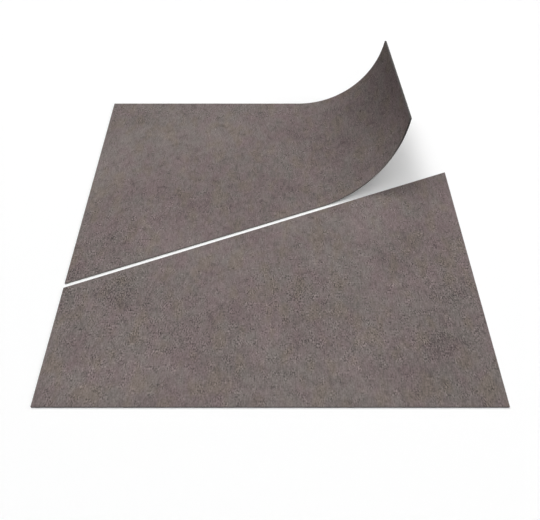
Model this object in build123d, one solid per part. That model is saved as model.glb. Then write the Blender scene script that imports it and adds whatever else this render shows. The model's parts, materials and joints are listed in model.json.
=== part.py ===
from build123d import *
from math import cos, degrees, radians, sin
import os

# Vinyl floor tile, cut in two by one slanting knife cut. The front piece lies flat. The back piece
# lies behind it, and its right-hand end has rolled up off the floor.
# The printed face is up, the floor is at Z = 0 and the factory edges run along X and Y. The origin
# is on the floor, under the middle of the two pieces as they lie.

# Tile
tile_width = 500.0
tile_length = 500.0
tile_thickness = 2.5

# Knife cut: how far behind the tile's front edge it meets the left and the right edge
cut_left = 149.7
cut_right = 349.0
# How far the two pieces lie apart, along Y
cut_gap = 6.6

# Roll at the right-hand end of the back piece, measured on the printed face.
# The sheet leaves the floor at roll_start from the tile's middle, square to the roll's axis.
roll_start = 70.0
roll_radius = 117.0
# Degrees that the roll's axis is turned away from the tile's sides
roll_skew = 5.5
# Sheet from the tile's middle to its edge at the end of the roll, at the knife cut and at the back
reach_at_cut = 229.6
reach_at_back = 226.1

# Points along each edge of the roll, which is a length of a helix
edge_points = 9

# Corners and ends of the knife cut on the whole tile, with its middle at 0, 0
front_left = Vector(-tile_width / 2, -tile_length / 2)
front_right = Vector(tile_width / 2, -tile_length / 2)
back_left = Vector(-tile_width / 2, tile_length / 2)
cut_start = front_left + Vector(0, cut_left)
cut_end = front_right + Vector(0, cut_right)

# Corners of the back piece at the end of its roll, on the unrolled sheet
cut_direction = (cut_end - cut_start) / tile_width
roll_cut_corner = cut_start + cut_direction * (tile_width / 2 + reach_at_cut)
roll_back_corner = Vector(reach_at_back, tile_length / 2)
cut_edge = (cut_start, roll_cut_corner)
back_edge = (back_left, roll_back_corner)

# Directions on the floor: across the roll's axis, and along it
across = Vector(cos(radians(roll_skew)), sin(radians(roll_skew)))
along = Vector(-across.Y, across.X)


def outward(angle):
    """Direction from the roll's axis to the sheet, where the sheet has turned up by the angle."""
    return across * sin(angle) - Vector(0, 0, 1) * cos(angle)


def sheet_angle(flat_point):
    """Radians by which the sheet has turned up at a point of the unrolled tile."""
    return (flat_point.dot(across) - roll_start) / roll_radius


def rolled_point(flat_point, depth):
    """Where a point of the unrolled sheet past the start of the roll lies, a depth below the printed face."""
    axis = across * roll_start + along * flat_point.dot(along)
    axis += Vector(0, 0, tile_thickness + roll_radius)
    return axis + outward(sheet_angle(flat_point)) * (roll_radius + depth)


def crossing(edge, distance):
    """Point of a straight edge of the unrolled sheet at a distance across the roll's axis."""
    start, end = edge
    share = (distance - start.dot(across)) / (end - start).dot(across)
    return start + (end - start) * share


def rolled_edge(edge, end, depth):
    """Helix that a straight edge of the sheet follows from the start of the roll to a distance across it."""
    steps = [step / (edge_points - 1) for step in range(edge_points)]
    flat_points = [crossing(edge, roll_start + (end - roll_start) * step) for step in steps]
    return Spline(*[rolled_point(point, depth) for point in flat_points])


def rolled_strip(end):
    """Solid of the rolled sheet, up to a line parallel to the roll's axis."""
    cut_top = rolled_edge(cut_edge, end, 0)
    cut_bottom = rolled_edge(cut_edge, end, tile_thickness)
    back_top = rolled_edge(back_edge, end, 0)
    back_bottom = rolled_edge(back_edge, end, tile_thickness)
    sides = [(cut_top, back_top), (cut_bottom, back_bottom), (cut_top, cut_bottom), (back_top, back_bottom)]
    faces = [Face.make_surface_from_curves(first, second) for first, second in sides]
    for end_of_edge in (0, 1):
        corners = [edge @ end_of_edge for edge in (cut_top, back_top, back_bottom, cut_bottom)]
        faces.append(Face(Wire.make_polygon(corners)))
    return Solid(Shell(faces))


def end_plane():
    """Plane of the sheet's edge at the end of the roll, square to the sheet at the edge's middle."""
    middle = (roll_cut_corner + roll_back_corner) / 2
    edge_direction = rolled_point(roll_back_corner, 0) - rolled_point(roll_cut_corner, 0)
    sheet_normal = outward(sheet_angle(middle))
    return Plane(rolled_point(middle, 0), x_dir=edge_direction, z_dir=sheet_normal.cross(edge_direction))


def flat_sheet(corners):
    """Flat sheet of the tile's thickness, lying on the floor."""
    return extrude(make_face(Polyline(*corners, close=True)), tile_thickness)


def flat_piece():
    """Front piece: three factory edges and the knife cut."""
    sheet = flat_sheet([front_left, front_right, cut_end, cut_start])
    return Pos(0, -cut_gap / 2) * sheet


def curled_piece():
    """Back piece: flat on the left, then the roll up to the sheet's edge."""
    roll_line = [crossing(edge, roll_start) for edge in (cut_edge, back_edge)]
    flat_part = flat_sheet([cut_start, *roll_line, back_left])
    past_edge = max(roll_cut_corner.dot(across), roll_back_corner.dot(across)) + tile_thickness
    roll = split(rolled_strip(past_edge), bisect_by=end_plane(), keep=Keep.BOTTOM)
    return Pos(0, cut_gap / 2) * (flat_part + roll)


os.makedirs("parts", exist_ok=True)
export_step(flat_piece(), "parts/flat_piece.step")
export_step(curled_piece(), "parts/curled_piece.step")
print("roll's end turned up by", round(degrees(sheet_angle(roll_back_corner)), 1), "degrees at the back corner")
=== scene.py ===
import bpy
import json
from math import cos, pi, radians, sin, tan
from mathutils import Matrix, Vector


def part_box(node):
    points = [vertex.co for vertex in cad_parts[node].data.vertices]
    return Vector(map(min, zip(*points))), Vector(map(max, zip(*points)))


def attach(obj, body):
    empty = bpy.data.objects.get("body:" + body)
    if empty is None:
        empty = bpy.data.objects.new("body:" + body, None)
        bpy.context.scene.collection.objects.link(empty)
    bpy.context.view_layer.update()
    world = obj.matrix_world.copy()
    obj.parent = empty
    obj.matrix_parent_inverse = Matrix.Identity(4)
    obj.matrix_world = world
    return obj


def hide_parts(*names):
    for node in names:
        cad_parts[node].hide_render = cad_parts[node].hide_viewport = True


# A square vinyl floor tile with a concrete-look print, cut in two by one slanting knife cut.
# The front piece lies flat, and the back piece has rolled up at its right-hand end.

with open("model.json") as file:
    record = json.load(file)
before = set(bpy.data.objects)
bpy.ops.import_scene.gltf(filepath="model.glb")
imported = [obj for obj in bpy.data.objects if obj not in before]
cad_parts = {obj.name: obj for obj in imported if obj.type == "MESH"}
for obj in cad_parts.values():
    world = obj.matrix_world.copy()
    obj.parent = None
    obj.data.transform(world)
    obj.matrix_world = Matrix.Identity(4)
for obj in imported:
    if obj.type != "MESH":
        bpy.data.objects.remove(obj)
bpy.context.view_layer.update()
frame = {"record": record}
mm = 0.001

# Sizes read from the frame
flat_low, flat_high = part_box("flat_piece")
tile_size = flat_high.x - flat_low.x
thickness = flat_high.z - flat_low.z
tile_mm = tile_size / mm
mounts = {mount["name"]: mount for mount in frame["record"]["mounts"]}
cut_point = Vector(mounts["cut_edge"]["pos_m"])
cut_normal = Vector(mounts["cut_edge"]["axis"])
curled_cut_point = Vector(mounts["curled_cut_edge"]["pos_m"])
# Middle of the whole tile, as each of the two pieces has it after they were moved apart
flat_middle = Vector((0, flat_low.y + tile_size / 2, 0))
curled_middle = Vector((0, mounts["back_edge"]["pos_m"][1] - tile_size / 2, 0))
# A point of the knife's line on the UV map, which runs from 0 to 1 over the whole tile. A place on the map
# that is nearer to the line than the tolerance, which is 0.25 mm, lies on it.
cut_on_map = (cut_point - flat_middle).xy / tile_size + Vector((0.5, 0.5))
map_tolerance = 0.0005

# The roll, measured on the printed face as in the solid: where the sheet leaves the floor, its radius, and
# the angle between the roll's axis and the tile's sides
roll_start = 70 * mm
roll_radius = 117 * mm
roll_skew = radians(5.5)
# Sheet from the tile's middle to its edge at the end of the roll, at the knife cut and at the back
reach_at_cut = 229.6 * mm
reach_at_back = 226.1 * mm

# Camera, found from the photograph's outline of the tile
lens_mm = 35.99
sensor_mm = 36.0
camera_tilt = radians(37.01)
camera_place = (-0.19 * mm, -469.76 * mm, 543.85 * mm)

# The sheet's corners are sharp, with just this much taken off
corner_width = 0.15 * mm
# Order of the materials on each piece
on_face, on_back, on_edge, on_cut = range(4)


def deselect_all():
    """Leaves nothing selected before the next piece is started or picked."""
    bpy.ops.object.select_all(action="DESELECT")


def active(piece):
    """The one piece that the next operators act on."""
    deselect_all()
    piece.select_set(True)
    bpy.context.view_layer.objects.active = piece


def apply_modifiers(piece):
    """Turns the piece's modifiers into its mesh."""
    active(piece)
    for modifier in list(piece.modifiers):
        bpy.ops.object.modifier_apply(modifier=modifier.name)


def whole_tile(name, middle, divisions, surfaces):
    """The printed face of the whole tile. Its UV map runs from 0 to 1 over the tile, uncut and unrolled."""
    deselect_all()
    place = middle + Vector((0, 0, thickness))
    bpy.ops.mesh.primitive_grid_add(
        x_subdivisions=divisions, y_subdivisions=divisions, size=tile_size, location=place)
    piece = bpy.context.object
    piece.name = piece.data.name = name
    for surface in surfaces:
        piece.data.materials.append(surface)
    bpy.ops.object.transform_apply(location=True, rotation=True, scale=True)
    return piece


def cut_away(piece, point, normal):
    """Cuts the sheet along a straight line and removes the side that the normal points to."""
    active(piece)
    bpy.ops.object.mode_set(mode="EDIT")
    bpy.ops.mesh.select_all(action="SELECT")
    bpy.ops.mesh.bisect(plane_co=point, plane_no=normal, clear_outer=True)
    bpy.ops.mesh.select_all(action="DESELECT")
    bpy.ops.object.mode_set(mode="OBJECT")


def give_thickness(piece):
    """Sheet of the real thickness, square at its edges, with the sharp corners just taken off."""
    solid = piece.modifiers.new("thickness", "SOLIDIFY")
    solid.thickness = thickness
    solid.offset = -1
    solid.use_even_offset = True
    solid.material_offset = on_back - on_face
    solid.material_offset_rim = on_edge - on_face
    corner = piece.modifiers.new("corner", "BEVEL")
    corner.width = corner_width
    corner.segments = 2
    # The edges of the sheet are sharper than this, and the steps of the roll aren't
    corner.limit_method = "ANGLE"
    corner.angle_limit = radians(50)
    apply_modifiers(piece)
    bpy.ops.object.shade_smooth_by_angle(angle=radians(30))


def mark_fresh_cut(piece):
    """Gives the edge cut with the knife its own material. On the UV map, it lies along the knife's line."""
    uv = piece.data.uv_layers.active.data
    for face in piece.data.polygons:
        corners = [uv[loop].uv for loop in face.loop_indices]
        distances = [abs((corner - cut_on_map).dot(cut_normal.xy)) for corner in corners]
        if face.material_index == on_edge and max(distances) < map_tolerance:
            face.material_index = on_cut


def roll_profile():
    """Curve that the sheet follows: straight along the floor, then round the roll in eighths of a turn."""
    arc = pi / 4
    # This length of handle makes each arc follow the circle
    handle = roll_radius * 4 / 3 * tan(arc / 4)
    run = roll_start / 3
    # How far along the floor the roll starts for each point, its angle, and its handles behind and ahead
    points = (
        (0, 0, run, run),
        (roll_start, 0, run, handle),
        (roll_start, arc, handle, handle),
        (roll_start, 2 * arc, handle, handle),
        (roll_start, 3 * arc, handle, handle),
    )
    data = bpy.data.curves.new("roll_profile", "CURVE")
    data.dimensions = "3D"
    data.twist_mode = "MINIMUM"
    # Many steps from point to point, so that the roll is smooth
    data.resolution_u = 256
    data.use_deform_bounds = False
    spline = data.splines.new("BEZIER")
    spline.bezier_points.add(len(points) - 1)
    for point, (start, angle, behind, ahead) in zip(spline.bezier_points, points):
        point.handle_left_type = point.handle_right_type = "FREE"
        direction = Vector((cos(angle), 0, sin(angle)))
        point.co = (start + roll_radius * sin(angle), 0, roll_radius * (1 - cos(angle)))
        point.handle_left = point.co - direction * behind
        point.handle_right = point.co + direction * ahead
    profile = bpy.data.objects.new("roll_profile", data)
    bpy.context.collection.objects.link(profile)
    return profile


def roll_up(piece, middle):
    """Rolls the right-hand end of the sheet up about an axis turned a little from the tile's sides."""
    active(piece)
    to_middle = -(middle + Vector((0, 0, thickness)))
    bpy.ops.transform.translate(value=to_middle)
    bpy.ops.object.transform_apply(location=True, rotation=True, scale=True)
    piece.rotation_euler.z = -roll_skew
    bpy.ops.object.transform_apply(location=True, rotation=True, scale=True)
    profile = roll_profile()
    bend = piece.modifiers.new("roll", "CURVE")
    bend.object = profile
    bend.deform_axis = "POS_X"
    apply_modifiers(piece)
    bpy.data.objects.remove(profile)
    piece.rotation_euler.z = roll_skew
    piece.location = -to_middle
    bpy.ops.object.transform_apply(location=True, rotation=True, scale=True)


def end_of_roll():
    """A point and the outward direction of the sheet's edge at the end of the roll, before it is rolled."""
    cut_slope = -cut_normal.x / cut_normal.y
    cut_corner_y = curled_cut_point.y + (reach_at_cut - curled_cut_point.x) * cut_slope
    cut_corner = Vector((reach_at_cut, cut_corner_y, 0))
    back_corner = curled_middle + Vector((reach_at_back, tile_size / 2, 0))
    edge = back_corner - cut_corner
    return cut_corner, Vector((edge.y, -edge.x, 0)).normalized()


def flat_piece(surfaces):
    """Front piece, flat on the floor, with the knife cut at its back."""
    piece = whole_tile("flat_sheet", flat_middle, divisions=50, surfaces=surfaces)
    cut_away(piece, cut_point, cut_normal)
    give_thickness(piece)
    mark_fresh_cut(piece)
    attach(piece, "root")
    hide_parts("flat_piece")


def curled_piece(surfaces):
    """Back piece, with the knife cut at its front and its right-hand end rolled up."""
    piece = whole_tile("curled_sheet", curled_middle, divisions=160, surfaces=surfaces)
    cut_away(piece, curled_cut_point, -cut_normal)
    cut_away(piece, *end_of_roll())
    roll_up(piece, curled_middle)
    give_thickness(piece)
    mark_fresh_cut(piece)
    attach(piece, "root")
    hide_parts("curled_piece")


def linear(hex_colour):
    """Linear colour, with alpha, of an sRGB hex value."""
    levels = [int(hex_colour[place:place + 2], 16) / 255 for place in (1, 3, 5)]
    lights = [level / 12.92 if level <= 0.04045 else ((level + 0.055) / 1.055) ** 2.4 for level in levels]
    return (*lights, 1)


def add(tree, kind, inputs, **settings):
    """Adds a node with its settings and links. An input is given a value, a node or one output of a node."""
    node = tree.nodes.new("ShaderNode" + kind)
    for name, value in settings.items():
        setattr(node, name, value)
    for name, value in inputs.items():
        if isinstance(value, bpy.types.Node):
            value = next(output for output in value.outputs if output.enabled)
        if isinstance(value, bpy.types.NodeSocket):
            tree.links.new(value, node.inputs[name])
        else:
            node.inputs[name].default_value = value
    return node


def new_material(name):
    """A material and its node tree, with no nodes in it."""
    material = bpy.data.materials.new(name)
    material.use_nodes = True
    material.node_tree.nodes.clear()
    return material, material.node_tree


def print_noises(tree, place):
    """Cloudy noises that the print is made of, each with patches of a real size."""
    # The print is drawn out from front to back, most of all in its finest streaks
    drawn_out = add(tree, "VectorMath", {0: place, 1: (1, 0.6, 1)}, operation="MULTIPLY")
    streaked = add(tree, "VectorMath", {0: place, 1: (1, 0.25, 1)}, operation="MULTIPLY")
    # The place that each follows, the size of its patches in mm, its seed, its detail and its roughness.
    # The real grain and emboss are finer than the picture can show, so both are drawn coarser.
    noises = {
        "wide": (place, 160, 26.7, 0, 1.0),
        "broad": (place, 80, 572.12, 0, 1.0),
        "middling": (place, 45, 544.64, 0, 1.0),
        "mottle": (place, 24, 3.1, 2, 1.0),
        "speckle": (drawn_out, 4.0, 7.4, 0, 1.0),
        "streaks": (streaked, 1.5, 5.2, 0, 1.0),
        "gathering": (place, 130, 958.48, 1, 0.5),
        "blots": (place, 11, 88.4, 3, 0.7),
        "groups": (place, 10, 31.9, 2, 0.5),
        "grain": (drawn_out, 1.4, 11.9, 0, 0.5),
        "hue": (place, 150, 675.42, 4, 0.9),
        "small_hue": (drawn_out, 16, 21.4, 1, 0.5),
        "yellow": (drawn_out, 17, 43.6, 1, 0.5),
        "emboss": (place, 1.6, 2.3, 1, 0.6),
    }
    return {name: add(tree, "TexNoise", {
        "Vector": where, "Scale": tile_mm / size, "W": seed, "Detail": detail, "Roughness": roughness,
    }, noise_dimensions="4D") for name, (where, size, seed, detail, roughness) in noises.items()}


def smudge_mask(tree, place):
    """1 in the middle of the smudges, which are ragged patches of the print, and 0 away from them."""
    # Where each lies from the tile's middle, in mm, and its half width and half length
    smudges = (
        (186, -178, 38, 24),
        (-182, -100, 30, 30),
        (220, -108, 32, 20),
        (-242, -98, 16, 36),
        (34, -108, 24, 20),
        (-206, -30, 20, 16),
        (-201, 208, 22, 18),
        (-13, 223, 20, 14),
    )
    # Their outline is torn by a noise of 18 mm that moves each place by up to 0.04 of the tile
    tear = 0.08
    torn = add(tree, "TexNoise", {"Vector": place, "Scale": tile_mm / 18, "Detail": 2}).outputs["Color"]
    ragged = add(tree, "VectorMath", {0: torn, 1: (tear, tear, 0), 2: place}, operation="MULTIPLY_ADD")
    mask = 0.0
    for x, y, wide, long in smudges:
        across, along = tile_mm / wide, tile_mm / long
        middle = (-(x / tile_mm + 0.5 + tear / 2) * across, -(y / tile_mm + 0.5 + tear / 2) * along, 0)
        scaled = add(tree, "VectorMath", {
            0: ragged, 1: (across, along, 0), 2: middle}, operation="MULTIPLY_ADD")
        far = add(tree, "VectorMath", {0: scaled}, operation="LENGTH")
        smudge = add(tree, "MapRange", {
            "Value": far, "From Min": 0.1, "From Max": 1.0, "To Min": 1.0, "To Max": 0.0,
        }, interpolation_type="SMOOTHSTEP")
        mask = add(tree, "Math", {0: smudge, 1: mask}, operation="MAXIMUM")
    return mask


def print_lightness_and_painted_shade(tree, place, noise):
    """Lightness of the print: soft patches, smudges, and fine grain that gathers in groups, and painted shade
    towards the back right-hand corner, where the roll stands up.
    """
    # How much lighter each noise's lightest patches are than its darkest. Each is about 0.5 on average.
    swings = {"wide": 0.22, "broad": 0.17, "middling": 0.18, "mottle": 0.50, "speckle": 0.25, "streaks": 0.53}
    # How much lighter a smudge is in its middle, and how much denser the groups of grain are there
    smudge_shade, smudge_grain = -0.11, 0.17
    # The grain's own average, and what makes up for the light that the dark blots and pores take
    grain_average, grain_lift = 0.515, 1.04
    lightness = 1 - sum(swings.values()) / 2
    for name, swing in swings.items():
        lightness = add(tree, "Math", {0: noise[name], 1: swing, 2: lightness}, operation="MULTIPLY_ADD")
    smudged = smudge_mask(tree, place)
    shade = add(tree, "Math", {0: smudged, 1: smudge_shade, 2: 1.0}, operation="MULTIPLY_ADD")
    # Dark blots a few millimetres across
    blots = add(tree, "MapRange", {
        "Value": noise["blots"], "From Min": 0.54, "From Max": 0.66, "To Min": 1.0, "To Max": 0.82,
    }, interpolation_type="SMOOTHSTEP")
    # Grain is strong in small groups and weak between them. The groups are densest in the smudges and where
    # the wide noise called gathering is high.
    gather = add(tree, "MapRange", {
        "Value": noise["gathering"], "From Min": 0.35, "From Max": 0.7, "To Min": -0.09, "To Max": 0.03,
    }, interpolation_type="SMOOTHSTEP")
    groups = add(tree, "Math", {0: noise["groups"], 1: gather}, operation="ADD")
    groups = add(tree, "Math", {0: smudged, 1: smudge_grain, 2: groups}, operation="MULTIPLY_ADD")
    strength = add(tree, "MapRange", {
        "Value": groups, "From Min": 0.39, "From Max": 0.70, "To Min": 0.65, "To Max": 2.6,
    }, interpolation_type="SMOOTHSTEP")
    grain = add(tree, "Math", {0: noise["grain"], 1: grain_average}, operation="SUBTRACT")
    grains = add(tree, "Math", {0: grain, 1: strength, 2: grain_lift}, operation="MULTIPLY_ADD")
    # Single pores in some of the cells of a grid with random places, 22 mm apart
    cells = add(tree, "TexVoronoi", {"Vector": place, "Scale": tile_mm / 22, "Randomness": 1})
    some = add(tree, "MapRange", {
        "Value": cells.outputs["Color"], "From Min": 0.45, "From Max": 0.95, "To Min": 0.0, "To Max": 0.5,
    }, interpolation_type="SMOOTHSTEP")
    depth = add(tree, "MapRange", {
        "Value": cells.outputs["Distance"], "From Min": 0.04, "From Max": 0.12, "To Min": -1.0, "To Max": 0.0,
    }, interpolation_type="SMOOTHSTEP")
    pores = add(tree, "Math", {0: some, 1: depth, 2: 1.0}, operation="MULTIPLY_ADD")
    # The print is darker towards the tile's back right-hand corner, where the roll stands up. This is partly
    # the print's own tone and partly painted shade on the roll.
    sides = add(tree, "SeparateXYZ", {0: place})
    right = add(tree, "MapRange", {
        "Value": sides.outputs["X"], "From Min": 0.62, "From Max": 0.96, "To Min": 0.0, "To Max": -0.27,
    }, interpolation_type="SMOOTHSTEP")
    back = add(tree, "MapRange", {
        "Value": sides.outputs["Y"], "From Min": 0.55, "From Max": 0.90,
    }, interpolation_type="SMOOTHSTEP")
    corner = add(tree, "Math", {0: right, 1: back, 2: 1.0}, operation="MULTIPLY_ADD")
    for share in (shade, blots, grains, pores, corner):
        lightness = add(tree, "Math", {0: lightness, 1: share}, operation="MULTIPLY")
    return lightness


def print_hue(tree, noise):
    """Colour of the print where it is neither light nor dark: greenish grey and mauve grey, with small
    yellower patches."""
    wide = add(tree, "MapRange", {
        "Value": noise["hue"], "From Min": 0.40, "From Max": 0.60, "To Min": -0.75, "To Max": -0.15,
    }, interpolation_type="SMOOTHSTEP")
    # The small patches stand out from the wide ones by nearly twice what their noise gives
    small_swing = 1.9
    mauve = add(tree, "Math", {0: noise["small_hue"], 1: small_swing, 2: wide}, operation="MULTIPLY_ADD")
    colour = add(tree, "Mix", {
        "Factor": mauve, "A": linear("#756E6B"), "B": linear("#766969")}, data_type="RGBA")
    yellow = add(tree, "MapRange", {
        "Value": noise["yellow"], "From Min": 0.48, "From Max": 0.70, "To Min": 0.0, "To Max": 0.65,
    }, interpolation_type="SMOOTHSTEP")
    return add(tree, "Mix", {"Factor": yellow, "A": colour, "B": linear("#766C64")}, data_type="RGBA")


def printed_face():
    """Concrete print under a clear matt wear layer: mauve and greenish grey in soft patches, with fine dark
    and light grains and single dark pores. The wear layer is finely embossed, so it mirrors nothing."""
    material, tree = new_material("concrete_print_under_matt_wear_layer")
    place = add(tree, "TexCoord", {}).outputs["UV"]
    noise = print_noises(tree, place)
    colour = add(tree, "Mix", {
        "Factor": 1.0, "A": print_hue(tree, noise), "B": print_lightness_and_painted_shade(tree, place, noise),
    }, data_type="RGBA", blend_type="MULTIPLY")
    # Emboss a few hundredths of a millimetre deep
    emboss = add(tree, "Bump", {"Height": noise["emboss"], "Distance": 0.05 * mm, "Strength": 0.4})
    # The emboss breaks up much of the reflection that a smooth film would give
    shader = add(tree, "BsdfPrincipled", {
        "Base Color": colour, "Normal": emboss, "Roughness": 0.8, "IOR": 1.5, "Specular IOR Level": 0.08})
    add(tree, "OutputMaterial", {"Surface": shader})
    return material


def filled_core(name, dark, light, end_shade):
    """Core of vinyl filled with ground stone, dull, with the filler as a fine grain between a dark and a
    light grey. The end shade is painted shade: how much darker the core is painted at the end of the roll,
    where 1 is no darker."""
    material, tree = new_material(name)
    places = add(tree, "TexCoord", {}).outputs
    # Real filler is finer. It is drawn at 0.7 mm, so that it shows in a close view.
    grains = add(tree, "TexNoise", {
        "Vector": places["Object"], "Scale": 1 / (0.7 * mm), "Detail": 2, "Roughness": 0.6})
    filler = add(tree, "MapRange", {"Value": grains, "From Min": 0.35, "From Max": 0.75})
    core = add(tree, "Mix", {"Factor": filler, "A": linear(dark), "B": linear(light)}, data_type="RGBA")
    sides = add(tree, "SeparateXYZ", {0: places["UV"]})
    # Painted shade: the core is painted darker towards the end of the roll, down to the end shade
    painted_end_shade = add(tree, "MapRange", {
        "Value": sides.outputs["X"], "From Min": 0.80, "From Max": 0.94, "To Min": 1.0, "To Max": end_shade,
    }, interpolation_type="SMOOTHSTEP")
    colour = add(tree, "Mix", {
        "Factor": 1.0, "A": core, "B": painted_end_shade}, data_type="RGBA", blend_type="MULTIPLY")
    bump = add(tree, "Bump", {"Height": grains, "Distance": 0.1 * mm, "Strength": 0.4})
    shader = add(tree, "BsdfPrincipled", {
        "Base Color": colour, "Normal": bump, "Roughness": 0.8, "IOR": 1.5})
    add(tree, "OutputMaterial", {"Surface": shader})
    return material


def backing():
    """Vinyl backing, plain mid grey. It is faintly cloudy, and dull from its fine sanded grain."""
    material, tree = new_material("sanded_vinyl_backing")
    place = add(tree, "TexCoord", {}).outputs["UV"]
    clouds = add(tree, "TexNoise", {"Vector": place, "Scale": tile_mm / 60, "Detail": 3, "Roughness": 0.6})
    colour = add(tree, "Mix", {
        "Factor": clouds, "A": linear("#5E5A57"), "B": linear("#6E6A66")}, data_type="RGBA")
    # Real sanding is finer. It is drawn at 0.9 mm, so that it shows in a close view.
    grain = add(tree, "TexNoise", {"Vector": place, "Scale": tile_mm / 0.9, "Detail": 1, "Roughness": 0.6})
    bump = add(tree, "Bump", {"Height": grain, "Distance": 0.1 * mm, "Strength": 0.5})
    shader = add(tree, "BsdfPrincipled", {
        "Base Color": colour, "Normal": bump, "Roughness": 0.85, "IOR": 1.5})
    add(tree, "OutputMaterial", {"Surface": shader})
    return material


def seen_directly(tree):
    """1 for what the camera sees, directly, mirrored or through something, and 0 for other light."""
    rays = add(tree, "LightPath", {}).outputs
    seen = add(tree, "Math", {
        0: rays["Is Camera Ray"], 1: rays["Is Glossy Ray"]}, operation="MAXIMUM")
    return add(tree, "Math", {0: seen, 1: rays["Is Transmission Ray"]}, operation="MAXIMUM")


def floor():
    """White paper floor, 5 m wide, dull. The camera sees it pure white where it is fully lit, and the tile
    is lit by it as by light grey paper."""
    deselect_all()
    bpy.ops.mesh.primitive_plane_add(size=5, location=(0, 0, 0))
    ground = bpy.context.object
    ground.name = "floor"
    material, tree = new_material("white_paper_floor")
    paper = add(tree, "Mix", {
        "Factor": seen_directly(tree), "A": linear("#DCDCDC"), "B": linear("#FFFFFF")}, data_type="RGBA")
    shader = add(tree, "BsdfPrincipled", {"Base Color": paper, "Roughness": 0.9, "Specular IOR Level": 0.0})
    add(tree, "OutputMaterial", {"Surface": shader})
    ground.data.materials.append(material)


def softbox(name, azimuth, elevation, size, share):
    """Square soft lamp 6 m away, with its size in metres and its direction in degrees. A share of 1 would
    light a white floor to full white by itself."""
    distance = 6
    around, up = radians(azimuth), radians(elevation)
    towards = Vector((cos(around) * cos(up), sin(around) * cos(up), sin(up)))
    data = bpy.data.lights.new(name, "AREA")
    data.size = size
    data.energy = share * (pi * distance) ** 2 / sin(up)
    lamp = bpy.data.objects.new(name, data)
    lamp.location = towards * distance
    lamp.rotation_euler = towards.to_track_quat("Z", "Y").to_euler()
    bpy.context.collection.objects.link(lamp)


def studio():
    """Large softbox overhead, one behind on the left, one at the right, one in front, and walls that are
    white to the camera and give the tile weak light from all round."""
    softbox("overhead_softbox", azimuth=90, elevation=90, size=6.5, share=0.555)
    softbox("back_softbox", azimuth=130, elevation=60, size=2.4, share=0.35)
    softbox("right_softbox", azimuth=0, elevation=40, size=2.9, share=0.17)
    softbox("front_softbox", azimuth=-90, elevation=40, size=2.9, share=0.09)
    world = bpy.data.worlds.new("studio")
    world.use_nodes = True
    tree = world.node_tree
    tree.nodes.clear()
    bpy.context.scene.world = world
    strength = add(tree, "MapRange", {"Value": seen_directly(tree), "To Min": 0.03, "To Max": 1.0})
    walls = add(tree, "Background", {"Color": (1, 1, 1, 1), "Strength": strength})
    add(tree, "OutputWorld", {"Surface": walls})


def camera():
    """Camera that shows the tile as the photograph does."""
    data = bpy.data.cameras.new("camera")
    data.lens = lens_mm
    data.sensor_width = sensor_mm
    data.sensor_fit = "HORIZONTAL"
    view = bpy.data.objects.new("camera", data)
    view.location = camera_place
    view.rotation_euler = (camera_tilt, 0, 0)
    bpy.context.collection.objects.link(view)
    bpy.context.scene.camera = view


# The punched edges are dark, partly as painted shade. The fresh knife cut is paler, except at the end of the
# roll, where painted shade darkens it.
surfaces = (
    printed_face(),
    backing(),
    filled_core("dark_edge_of_filled_vinyl_with_painted_shade", dark="#2E2B2A", light="#4C4947", end_shade=1.0),
    filled_core("fresh_cut_in_filled_vinyl_with_painted_shade", dark="#6B6663", light="#928D89", end_shade=0.12),
)
flat_piece(surfaces)
curled_piece(surfaces)
floor()
studio()
camera()
bpy.context.scene.view_settings.view_transform = "Standard"
